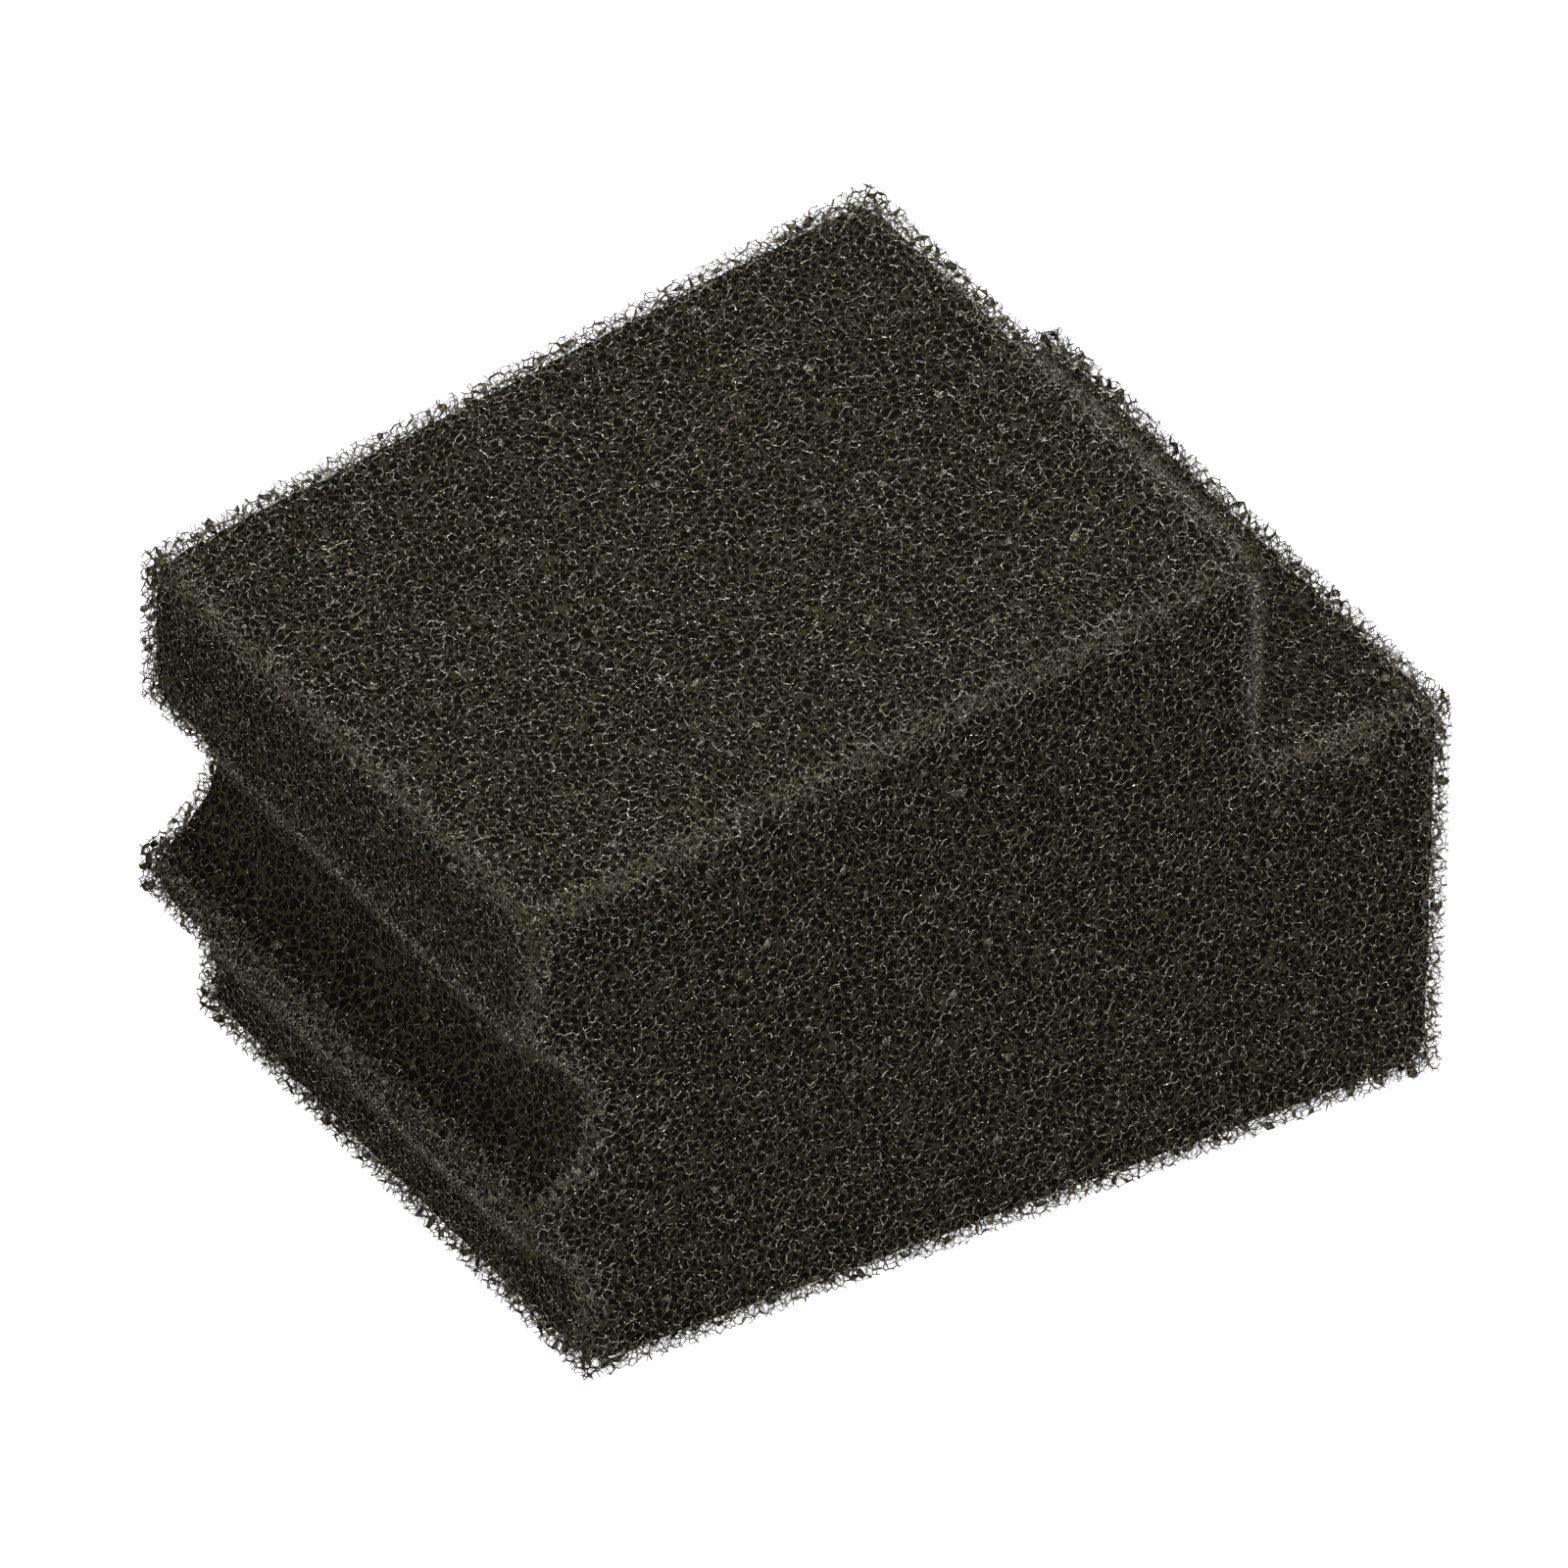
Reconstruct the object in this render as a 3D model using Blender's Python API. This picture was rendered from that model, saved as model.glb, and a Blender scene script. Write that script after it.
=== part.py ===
"""Filter sponge: one wire-cut block of black open-cell foam.

The block is a constant profile drawn through its depth. The profile has a top that climbs to the
right, a stepped-down ledge at the top right, a round channel in the left wall for an upright
pipe's elbow or a moulded rib, and a coved setback at the foot of the same wall.
Units are metres. +X runs along the block's length, +Y through its depth and +Z up. The origin is
the centre of the block's bounding box, on the plane it stands on.
"""

import math

import bmesh
import bpy

# The block's envelope.
BLOCK_LENGTH = 0.115
BLOCK_DEPTH = 0.078
LOW_END_HEIGHT = 0.0626
HIGH_END_HEIGHT = 0.077

# The ledge cut down at the high end.
LEDGE_LENGTH = 0.024
LEDGE_HEIGHT = 0.0496

# The round channel in the low end's wall. Its centre stands just outside the wall.
CHANNEL_RADIUS = 0.0098
CHANNEL_HEIGHT = 0.0343
CHANNEL_STANDOFF = 0.002

# The setback at the foot of the same wall, and the cove that rises from it.
FOOT_SETBACK = 0.0074
FOOT_HEIGHT = 0.010
COVE_RADIUS = 0.0088

# Facets along each round stretch.
CHANNEL_FACETS = 28
COVE_FACETS = 14

FOAM_COLOUR = (0.019, 0.0175, 0.0145, 1.0)
FOAM_ROUGHNESS = 0.7


def clear_scene():
    """Remove whatever the open file holds, so that only the block is left."""
    for old in list(bpy.data.objects):
        bpy.data.objects.remove(old, do_unlink=True)


def arc(centre, radius, start, end, facets):
    """Points on a circle in the profile's plane, from angle start to angle end."""
    points = []
    for step in range(facets + 1):
        angle = start + (end - start) * step / facets
        points.append(
            (centre[0] + radius * math.cos(angle), centre[1] + radius * math.sin(angle))
        )
    return points


def channel_arc(wall):
    """The channel's round, from its lower lip on the wall to its upper lip."""
    centre = (wall - CHANNEL_STANDOFF, CHANNEL_HEIGHT)
    half_angle = math.acos(CHANNEL_STANDOFF / CHANNEL_RADIUS)
    return arc(centre, CHANNEL_RADIUS, -half_angle, half_angle, CHANNEL_FACETS)


def cove_arc(wall):
    """The cove's round, from the foot's upright up to the wall's lower lip."""
    centre = (wall + FOOT_SETBACK - COVE_RADIUS, FOOT_HEIGHT)
    lip_angle = math.acos((wall - centre[0]) / COVE_RADIUS)
    return arc(centre, COVE_RADIUS, 0.0, lip_angle, COVE_FACETS)


def profile():
    """The block's outline as (x, z) points, clockwise when seen along +Y."""
    wall = -BLOCK_LENGTH / 2
    end = BLOCK_LENGTH / 2
    riser = end - LEDGE_LENGTH
    outline = [(wall + FOOT_SETBACK, 0.0)]
    outline += cove_arc(wall)
    outline += channel_arc(wall)
    outline += [
        (wall, LOW_END_HEIGHT),
        (riser, HIGH_END_HEIGHT),
        (riser, LEDGE_HEIGHT),
        (end, LEDGE_HEIGHT),
        (end, 0.0),
    ]
    return outline


def foam_material():
    """Matt black foam, slightly warm."""
    material = bpy.data.materials.new("open_cell_foam")
    material.use_nodes = True
    shader = material.node_tree.nodes["Principled BSDF"]
    shader.inputs["Base Color"].default_value = FOAM_COLOUR
    shader.inputs["Roughness"].default_value = FOAM_ROUGHNESS
    shader.inputs["Metallic"].default_value = 0.0
    return material


def foam_block():
    """The sponge: its profile as one face, extruded through the depth."""
    shape = bmesh.new()
    corners = [shape.verts.new((x, -BLOCK_DEPTH / 2, z)) for x, z in profile()]
    front = shape.faces.new(corners)
    swept = bmesh.ops.extrude_face_region(shape, geom=[front])
    moved = [item for item in swept["geom"] if isinstance(item, bmesh.types.BMVert)]
    bmesh.ops.translate(shape, verts=moved, vec=(0.0, BLOCK_DEPTH, 0.0))
    bmesh.ops.recalc_face_normals(shape, faces=shape.faces)
    mesh = bpy.data.meshes.new("foam_block")
    shape.to_mesh(mesh)
    shape.free()
    mesh.materials.append(foam_material())
    block = bpy.data.objects.new("foam_block", mesh)
    bpy.context.scene.collection.objects.link(block)
    return block


def main():
    clear_scene()
    foam_block()


main()
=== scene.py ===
"""Filter sponge, dressed: the block's open-cell foam as real struts round a dark heart.

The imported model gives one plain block. This script replaces it with the foam that the block is cut
from: a network of random cells, clipped to the block's own outline so that its struts end where
the wire cut them, over an opaque heart that stands for the cells too deep for light to reach.
Lengths are metres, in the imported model's frame.
"""

import itertools
import logging
import math
from dataclasses import dataclass, field
from enum import Enum, IntEnum
from typing import Dict, List, Tuple

import bmesh
import bpy
import numpy as np
from mathutils import Matrix, Vector

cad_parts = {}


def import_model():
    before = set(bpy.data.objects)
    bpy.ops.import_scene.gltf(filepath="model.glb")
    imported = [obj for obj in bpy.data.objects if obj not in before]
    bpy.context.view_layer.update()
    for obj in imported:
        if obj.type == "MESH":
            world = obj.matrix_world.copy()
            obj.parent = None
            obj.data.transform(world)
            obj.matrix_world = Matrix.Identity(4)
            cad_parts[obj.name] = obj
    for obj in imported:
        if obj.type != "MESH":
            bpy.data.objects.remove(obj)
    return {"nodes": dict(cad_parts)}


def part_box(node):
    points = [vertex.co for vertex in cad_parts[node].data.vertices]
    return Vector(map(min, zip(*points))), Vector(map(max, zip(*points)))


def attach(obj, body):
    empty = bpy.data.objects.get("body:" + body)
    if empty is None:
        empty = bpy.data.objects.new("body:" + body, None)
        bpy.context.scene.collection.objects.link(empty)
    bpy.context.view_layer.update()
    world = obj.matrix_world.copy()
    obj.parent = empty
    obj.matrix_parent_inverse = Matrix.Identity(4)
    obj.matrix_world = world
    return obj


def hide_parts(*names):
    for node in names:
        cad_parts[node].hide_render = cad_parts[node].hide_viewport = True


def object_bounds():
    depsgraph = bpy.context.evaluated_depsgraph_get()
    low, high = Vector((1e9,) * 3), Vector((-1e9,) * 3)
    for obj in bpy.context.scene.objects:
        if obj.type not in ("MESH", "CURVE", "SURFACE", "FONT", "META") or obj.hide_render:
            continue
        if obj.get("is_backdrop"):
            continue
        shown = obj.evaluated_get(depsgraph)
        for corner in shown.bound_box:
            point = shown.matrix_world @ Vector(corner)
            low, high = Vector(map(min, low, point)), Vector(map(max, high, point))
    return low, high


logging.basicConfig(level=logging.INFO, format="%(levelname)s %(message)s")
LOG = logging.getLogger("filter_sponge")

Colour = Tuple[float, float, float]

BODY = "root"
FOAM_NODE = "foam_block"
SHADE = "shade"
UNDER_WALL = "under_wall"
BAKE_MAP = "OFBake"
MILLIMETRE = 0.001
TOP_RISE = 1.1 * MILLIMETRE
# Shares of a stretch's direction: past the first it is flat, and under the second it is none.
FLAT_ENOUGH = 0.9
SQUARE_ENOUGH = 0.001
# Corners nearer than the first are one, and sizes under the second count as nothing.
WELD = 1e-6
TINY = 1e-9
# The band that nearly all of a noise texture's values lie in.
NOISE_SPREAD = (0.3, 0.7)
NOISE = "ShaderNodeTexNoise"


class Region(Enum):
    """A side of the block; each side's cells are one or more pieces."""

    FRONT = "front"
    BACK = "back"
    TOP = "top"
    LEDGE = "ledge"
    HIGH_END = "high_end"
    LOW_END = "low_end"
    BASE = "base"


class Cut(IntEnum):
    """Which end of a strut the wire has cut off."""

    NONE = 0
    END = 1
    START = 2


# ------------------------------------------------------------------------------ the solid block


@dataclass
class BlockSolid:
    """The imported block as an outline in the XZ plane, drawn from its front to its back.

    Args:
        node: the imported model's mesh object.
        step: spacing of the tables that depths are read from.
        haze: how far light spreads inside the foam; it rounds the reach of light at edges.
        spread: how many times the haze a blur runs to.
        levels: how many depths the blur is tabulated at.
        margin: how far the tables run past the block.
        cover: how much deeper each hidden side counts than it is, so that its crust is thin.
    """

    node: bpy.types.Object
    step: float = 0.2 * MILLIMETRE
    haze: float = 2.2 * MILLIMETRE
    spread: int = 3
    levels: int = 241
    margin: float = 14.0 * MILLIMETRE
    cover: Dict[Region, float] = field(
        default_factory=lambda: {
            Region.BACK: 0.06 * MILLIMETRE,
            Region.HIGH_END: 0.06 * MILLIMETRE,
            Region.BASE: 0.15 * MILLIMETRE,
        }
    )
    outline: np.ndarray = field(init=False)
    low: np.ndarray = field(init=False)
    high: np.ndarray = field(init=False)

    def __post_init__(self) -> None:
        """Read the outline once and tabulate what is asked of it often."""
        low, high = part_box(self.node.name)
        self.low, self.high = np.array(low), np.array(high)
        self.outline = self._read_outline()
        self._tabulate()

    def _read_outline(self) -> np.ndarray:
        """Slice the block halfway through its depth and walk round the cut.

        Returns:
            The cut's corners as (x, z) rows, in order round the block.
        """
        shape = bmesh.new()
        shape.from_mesh(self.node.data)
        bmesh.ops.remove_doubles(shape, verts=shape.verts, dist=WELD)
        cut = bmesh.ops.bisect_plane(
            shape,
            geom=[*shape.verts, *shape.edges, *shape.faces],
            plane_co=(self.low + self.high) / 2,
            plane_no=(0.0, 1.0, 0.0),
        )
        edges = [e for e in cut["geom_cut"] if isinstance(e, bmesh.types.BMEdge)]
        rim = {v for e in edges for v in e.verts}
        cut_edges = set(edges)
        corner = next(iter(edges)).verts[0]
        walk, came_by = [], None
        while len(walk) < len(rim):
            walk.append((corner.co.x, corner.co.z))
            onward = [e for e in corner.link_edges if e in cut_edges and e is not came_by]
            came_by = onward[0]
            corner = came_by.other_vert(corner)
        shape.free()
        return np.array(walk)

    def _tabulate(self) -> None:
        """Fill the tables of wall distance, nearest wall and solidness over the XZ plane."""
        self.origin = self.low[[0, 2]] - self.margin
        count = np.ceil((self.high[[0, 2]] - self.origin + self.margin) / self.step)
        xs, zs = (self.origin[k] + self.step * np.arange(int(count[k])) for k in (0, 1))
        places = np.stack(np.meshgrid(xs, zs, indexing="ij"), axis=-1)
        flat = places.reshape(-1, 2)
        nearest = np.full(len(flat), np.inf)
        covered = np.full(len(flat), np.inf)
        wall = np.zeros(len(flat), int)
        inside = np.zeros(len(flat), bool)
        starts, ends = self.outline, np.roll(self.outline, -1, axis=0)
        regions = [self._region_of(a, b) for a, b in zip(starts, ends)]
        for index, (start, end) in enumerate(zip(starts, ends)):
            along = end - start
            share = np.clip((flat - start) @ along / (along @ along), 0.0, 1.0)
            gap = np.hypot(*(flat - start - share[:, None] * along).T)
            closer = gap < nearest
            nearest[closer] = gap[closer]
            wall[closer] = index
            covered = np.minimum(covered, gap + self.cover.get(regions[index], 0.0))
            spans = (start[1] > flat[:, 1]) != (end[1] > flat[:, 1])
            if start[1] != end[1]:
                crossing = start[0] + (flat[:, 1] - start[1]) * along[0] / along[1]
                inside ^= spans & (flat[:, 0] < crossing)
        shape = places.shape[:2]
        self.depth_table = np.where(inside, nearest, -nearest).reshape(shape)
        self.cover_table = np.where(inside, covered, -covered).reshape(shape)
        self.wall_table = wall.reshape(shape)
        solid = inside.reshape(shape).astype(float)
        blurred = self._blurred(solid)
        # Past half, shelter grows twice as fast as foam gathers round a point.
        sheltered = np.minimum(2 * blurred - 0.5, 1.0)
        self.solid_table = np.where(blurred > 0.5, sheltered, blurred)
        self.covered_table = self._blurred(self._covered(solid))
        self.wall_region = np.array([region.value for region in regions])

    def _covered(self, solid: np.ndarray) -> np.ndarray:
        """Thicken the table's block by the cover over its base and its high end."""
        thick = solid.copy()
        first_row = int(np.flatnonzero(solid.any(axis=0))[0])
        last_column = int(np.flatnonzero(solid.any(axis=1))[-1])
        rows = round(self.cover[Region.BASE] / self.step)
        columns = round(self.cover[Region.HIGH_END] / self.step)
        thick[:, first_row - rows : first_row] = thick[:, [first_row]]
        thick[last_column + 1 : last_column + 1 + columns] = thick[[last_column]]
        return thick

    def _blurred(self, table: np.ndarray) -> np.ndarray:
        """Blur a table over the haze, along both of its axes."""
        reach = int(self.spread * self.haze / self.step)
        offsets = np.arange(-reach, reach + 1) * self.step / self.haze
        weights = np.exp(-(offsets**2) / 2)
        weights /= weights.sum()
        for axis in (0, 1):
            table = np.apply_along_axis(np.convolve, axis, table, weights, mode="same")
        return table

    def _region_of(self, start: np.ndarray, end: np.ndarray) -> Region:
        """Name the side of the block that a stretch of its outline belongs to."""
        along = (end - start) / np.hypot(*(end - start))
        middle = (start + end) / 2
        centre = (self.low + self.high)[[0, 2]] / 2
        if abs(along[0]) > FLAT_ENOUGH and middle[1] < self.low[2] + self.step:
            return Region.BASE
        if middle[0] > self.high[0] - self.step:
            return Region.HIGH_END
        if middle[0] < centre[0] and abs(along[0]) < FLAT_ENOUGH:
            return Region.LOW_END
        if middle[0] < centre[0] and middle[1] < centre[1]:
            return Region.LOW_END
        square = np.abs(along).min() < SQUARE_ENOUGH
        return Region.LEDGE if square else Region.TOP

    def _read(self, table: np.ndarray, points: np.ndarray) -> np.ndarray:
        """Read a table between its samples, at each point's x and z."""
        at = (points[..., [0, 2]] - self.origin) / self.step
        limit = np.array(table.shape) - 2
        cell = np.clip(np.floor(at).astype(int), 0, limit)
        part = np.clip(at - cell, 0.0, 1.0)
        i, k = cell[..., 0], cell[..., 1]
        u, v = part[..., 0], part[..., 1]
        lower = table[i, k] * (1 - u) + table[i + 1, k] * u
        upper = table[i, k + 1] * (1 - u) + table[i + 1, k + 1] * u
        return lower * (1 - v) + upper * v

    def depth(self, points: np.ndarray) -> np.ndarray:
        """Give each point's distance under the nearest wall; below zero is outside."""
        ends = np.minimum(points[..., 1] - self.low[1], self.high[1] - points[..., 1])
        return np.minimum(self._read(self.depth_table, points), ends)

    def _even_depth(self, table: np.ndarray, back: float, points: np.ndarray) -> np.ndarray:
        """Give the depth under one wide wall that has as much foam round it as each point.

        Args:
            table: the blurred solidness over the XZ plane.
            back: where the block ends along Y.
            points: places in the block, with their coordinates in the last axis.

        Returns:
            The depths, in metres; below zero beside edges and corners.
        """
        levels = np.linspace(-self.spread, self.spread, self.levels)
        share = 0.5 * (1 + np.vectorize(math.erf)(levels / math.sqrt(2)))
        before = np.interp((points[..., 1] - self.low[1]) / self.haze, levels, share)
        behind = np.interp((back - points[..., 1]) / self.haze, levels, share)
        solid = self._read(table, points) * (before + behind - 1)
        return np.interp(solid, share, levels) * self.haze

    def shade(self, points: np.ndarray) -> np.ndarray:
        """Give how sheltered from light each point is, as a depth in metres."""
        return self._even_depth(self.solid_table, self.high[1], points)

    def crust_depth(self, points: np.ndarray) -> np.ndarray:
        """Give each point's depth as the crust counts it.

        It equals the true depth under a flat wall. Beside an edge or a corner it is less,
        so that the crust is deeper there, where it can be seen through.
        """
        back_cover = self.cover[Region.BACK]
        even = self._even_depth(self.covered_table, self.high[1] + back_cover, points)
        before = points[..., 1] - self.low[1]
        behind = self.high[1] + back_cover - points[..., 1]
        beside = self._read(self.cover_table, points)
        return np.minimum(np.minimum(even, beside), np.minimum(before, behind))

    def region(self, points: np.ndarray) -> np.ndarray:
        """Give the name of the side that each point lies nearest to."""
        at = np.rint((points[..., [0, 2]] - self.origin) / self.step).astype(int)
        at = np.clip(at, 0, np.array(self.wall_table.shape) - 1)
        named = self.wall_region[self.wall_table[at[..., 0], at[..., 1]]]
        beside = self._read(self.depth_table, points)
        front = points[..., 1] - self.low[1]
        back = self.high[1] - points[..., 1]
        named = np.where(front < np.minimum(beside, back), Region.FRONT.value, named)
        return np.where(back < np.minimum(beside, front), Region.BACK.value, named)


# ----------------------------------------------------------------------------- the foam's cells


@dataclass
class CellTile:
    """A cube of random foam cells that repeats in every direction.

    Each node of the network is where four cells meet, and each strut is where three do.

    Args:
        cells_per_side: how many lattice steps of seeds the cube holds along each side.
        jitter: how far a seed strays from its lattice place, as a share of one step.
        neighbours: how many nearby seeds are tried as a cell's neighbours.
        closed: the share of windows between cells that still hold their skin.
        girths: how thin and how thick nodes are, as shares of the usual.
        seed: start of the random draws.
    """

    cells_per_side: int = 8
    jitter: float = 0.185
    neighbours: int = 30
    closed: float = 0.13
    girths: Tuple[float, float] = (0.8, 1.2)
    seed: int = 11
    nodes: np.ndarray = field(init=False)
    toward: np.ndarray = field(init=False)
    girth: np.ndarray = field(init=False)
    struts: Dict[str, np.ndarray] = field(init=False)
    windows: List[Tuple[np.ndarray, np.ndarray]] = field(init=False)

    def __post_init__(self) -> None:
        """Draw the seeds and find the network between their cells."""
        draw = np.random.default_rng(self.seed)
        seeds = self._seeds(draw)
        self.nodes, cells = self._meeting_points(seeds)
        toward = seeds[cells] - self.nodes[:, None, :]
        toward -= np.round(toward)
        self.toward = toward / np.linalg.norm(toward, axis=2, keepdims=True)
        self.girth = draw.uniform(*self.girths, len(self.nodes))
        self.struts = self._join(cells)
        self.windows = self._closed_windows(seeds, cells, draw)

    def _seeds(self, draw: np.random.Generator) -> np.ndarray:
        """Scatter cell seeds about a body-centred lattice in a cube of side one."""
        steps = np.arange(self.cells_per_side) / self.cells_per_side
        corners = np.stack(np.meshgrid(steps, steps, steps, indexing="ij"), -1).reshape(-1, 3)
        seeds = np.vstack([corners, corners + 0.5 / self.cells_per_side])
        stray = draw.normal(0.0, self.jitter / self.cells_per_side, seeds.shape)
        return (seeds + stray) % 1.0

    def _meeting_points(self, seeds: np.ndarray) -> Tuple[np.ndarray, np.ndarray]:
        """Find every point that is as near to four seeds as to any.

        Args:
            seeds: the cells' seeds.

        Returns:
            The points, and the four cells that meet at each in rising order.
        """
        triples = np.array(list(itertools.combinations(range(self.neighbours), 3)))
        points, meeting = [], []
        for index, seed in enumerate(seeds):
            offset = seeds - seed
            offset -= np.round(offset)
            order = np.argsort((offset**2).sum(1))[1 : self.neighbours + 1]
            offset = offset[order]
            half = (offset**2).sum(1) / 2
            planes = offset[triples]
            sound = np.abs(np.linalg.det(planes)) > TINY
            places = np.linalg.solve(planes[sound], half[triples][sound][..., None])[..., 0]
            empty = (places @ offset.T <= half + TINY).all(1)
            others = order[triples[sound][empty]]
            own = (others > index).all(1)
            points.append(places[empty][own] + seed)
            meeting.append(
                np.column_stack([np.full(own.sum(), index), np.sort(others[own], axis=1)])
            )
        meeting = np.vstack(meeting)
        _, once = np.unique(meeting, axis=0, return_index=True)
        return np.vstack(points)[once], meeting[once]

    def _join(self, cells: np.ndarray) -> Dict[str, np.ndarray]:
        """Join the nodes that share three cells.

        Args:
            cells: the four cells at each node.

        Returns:
            Per strut: its two nodes, the three cells round it as places among each node's
            four, and how many tiles away its second node is.
        """
        threes = np.array(list(itertools.combinations(range(4), 3)))
        trios = cells[:, threes].reshape(-1, 3)
        node = np.repeat(np.arange(len(cells)), 4)
        three = np.tile(np.arange(4), len(cells))
        code = (trios * (cells.max() + 1) ** np.arange(3)).sum(1)
        order = np.argsort(code, kind="stable")
        pair = np.flatnonzero(code[order][1:] == code[order][:-1])
        first, second = order[pair], order[pair + 1]
        start, end = node[first], node[second]
        return {
            "start": start,
            "end": end,
            "start_cells": threes[three[first]],
            "end_cells": threes[three[second]],
            "hop": -np.round(self.nodes[end] - self.nodes[start]).astype(int),
        }

    def _closed_windows(
        self, seeds: np.ndarray, cells: np.ndarray, draw: np.random.Generator
    ) -> List[Tuple[np.ndarray, np.ndarray]]:
        """Choose the windows that keep their skin, and walk round each one's nodes.

        Args:
            seeds: the cells' seeds.
            cells: the four cells at each node.
            draw: the random draws.

        Returns:
            For each count of corners, the windows' nodes and how many tiles away each is.
        """
        twos = np.array(list(itertools.combinations(range(4), 2)))
        pairs = cells[:, twos].reshape(-1, 2)
        node = np.repeat(np.arange(len(cells)), len(twos))
        code = pairs[:, 0] * len(seeds) + pairs[:, 1]
        order = np.argsort(code, kind="stable")
        groups = np.split(order, np.flatnonzero(np.diff(code[order])) + 1)
        chosen = draw.random(len(groups)) < self.closed
        found: Dict[int, List[Tuple[np.ndarray, np.ndarray]]] = {}
        for group in itertools.compress(groups, chosen):
            first, second = seeds[pairs[group[0]]]
            corner = node[group]
            hop = -np.round(self.nodes[corner] - first).astype(int)
            place = self.nodes[corner] + hop - first
            across = second - first
            across -= np.round(across)
            side = np.cross(across, place[0])
            other = np.cross(across / np.linalg.norm(across), side)
            turn = np.argsort(np.arctan2(place @ side, place @ other))
            if len(group) > 3:
                found.setdefault(len(group), []).append((corner[turn], hop[turn]))
        return [
            (np.array([c for c, _ in same]), np.array([h for _, h in same]))
            for _, same in sorted(found.items())
        ]


@dataclass
class FoamNetwork:
    """The struts near the block's surface, cut where they leave it.

    Args:
        solid: the block they fill.
        pitch: one lattice step of the cells.
        strut: how far a node's corners stand from its middle.
        sway: how far rows of cells wander.
        sway_wave: how long a wave of that wandering is.
        sway_beats: for each axis, where its first wave starts and how fast its second runs.
        lean: how far the tiles are turned from the block, in radians.
        lean_axis: what they are turned about.
        reach: how deep the struts' nearer ends lie, as the crust's depth is counted.
        hazes: how many times the haze the crust may lie under a wall, beside an edge.
        stub: the share of a cut strut's length under which the wire has taken all of it.
        tile: the cells that are repeated.
    """

    solid: BlockSolid
    pitch: float = 1.21 * MILLIMETRE
    strut: float = 0.064 * MILLIMETRE
    sway: float = 0.35 * MILLIMETRE
    sway_wave: float = 17.0 * MILLIMETRE
    sway_beats: Tuple[Tuple[float, float], ...] = ((0.4, 0.71), (1.7, 0.63), (2.9, 0.57))
    lean: float = 0.61
    lean_axis: Tuple[float, float, float] = (0.37, 0.71, 0.6)
    reach: float = 0.22 * MILLIMETRE
    hazes: float = 1.5
    stub: float = 0.42
    tile: CellTile = field(default_factory=CellTile)

    def __post_init__(self) -> None:
        """Lay the tiles through the block and sort their nodes and struts."""
        lean_axis = Vector(self.lean_axis).normalized()
        self.turn = np.array(Matrix.Rotation(self.lean, 3, lean_axis))
        self.tile_side = self.pitch * self.tile.cells_per_side
        self._lay_tiles()
        self._sort_struts()

    def _swayed(self, points: np.ndarray) -> np.ndarray:
        """Bend the rows of cells gently, so that no tile looks like the next."""
        wave = 2 * math.pi / self.sway_wave
        shift = [
            np.sin(wave * points[..., (axis + 1) % 3] + start)
            + np.sin(pace * wave * points[..., (axis + 2) % 3])
            for axis, (start, pace) in enumerate(self.sway_beats)
        ]
        return points + self.sway * np.stack(shift, axis=-1)

    def _in_block(self, points: np.ndarray) -> np.ndarray:
        """Carry points of the tiles' grid, where a tile's side is one, into the block."""
        return points * self.tile_side @ self.turn.T + self.middle

    def _tiles_at(self, steps: np.ndarray) -> np.ndarray:
        """Give the tile laid at each step of the grid; where none is, the number is below zero."""
        at = np.clip(steps + self.index_shift, 0, len(self.tile_index) - 1)
        return self.tile_index[at[..., 0], at[..., 1], at[..., 2]]

    def _lay_tiles(self) -> None:
        """Lay and number every tile that the block's crust runs through."""
        solid = self.solid
        radius = self.tile_side * math.sqrt(3) / 2
        half_count = int(np.ceil(np.linalg.norm(solid.high - solid.low) / 2 / self.tile_side)) + 1
        steps = np.arange(-half_count, half_count + 1)
        grid = np.stack(np.meshgrid(steps, steps, steps, indexing="ij"), -1).reshape(-1, 3)
        self.middle = (solid.low + solid.high) / 2
        depth = solid.depth(self._in_block(grid + 0.5))
        deepest = self.reach + self.hazes * solid.haze
        self.laid = grid[(depth > -radius) & (depth < radius + deepest)]
        self.index_shift = half_count + 1
        self.tile_index = np.full((2 * self.index_shift + 1,) * 3, -1)
        at = self.laid + self.index_shift
        self.tile_index[at[:, 0], at[:, 1], at[:, 2]] = np.arange(len(self.laid))
        self._place_nodes(deepest)

    def _place_nodes(self, deepest: float) -> None:
        """Tabulate the laid tiles' nodes: their places, their depths and their nearest sides.

        Args:
            deepest: how far under a wall a node can lie and still be in the crust.
        """
        shape = (len(self.laid), len(self.tile.nodes))
        self.places = np.empty((*shape, 3))
        self.crust = np.full(shape, np.inf)
        self.depths = np.empty(shape)
        self.side_of = np.zeros(shape, "<U8")
        for index, step in enumerate(self.laid):
            places = self._swayed(self._in_block(self.tile.nodes + step))
            depth = self.solid.depth(places)
            near = np.flatnonzero((depth > 0) & (depth < deepest))
            self.places[index] = places
            self.depths[index] = depth
            self.crust[index, near] = self.solid.crust_depth(places[near])
            self.side_of[index, near] = self.solid.region(places[near])
        LOG.info("tiles %d, nodes kept %d", len(self.laid), (self.crust < self.reach).sum())

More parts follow.
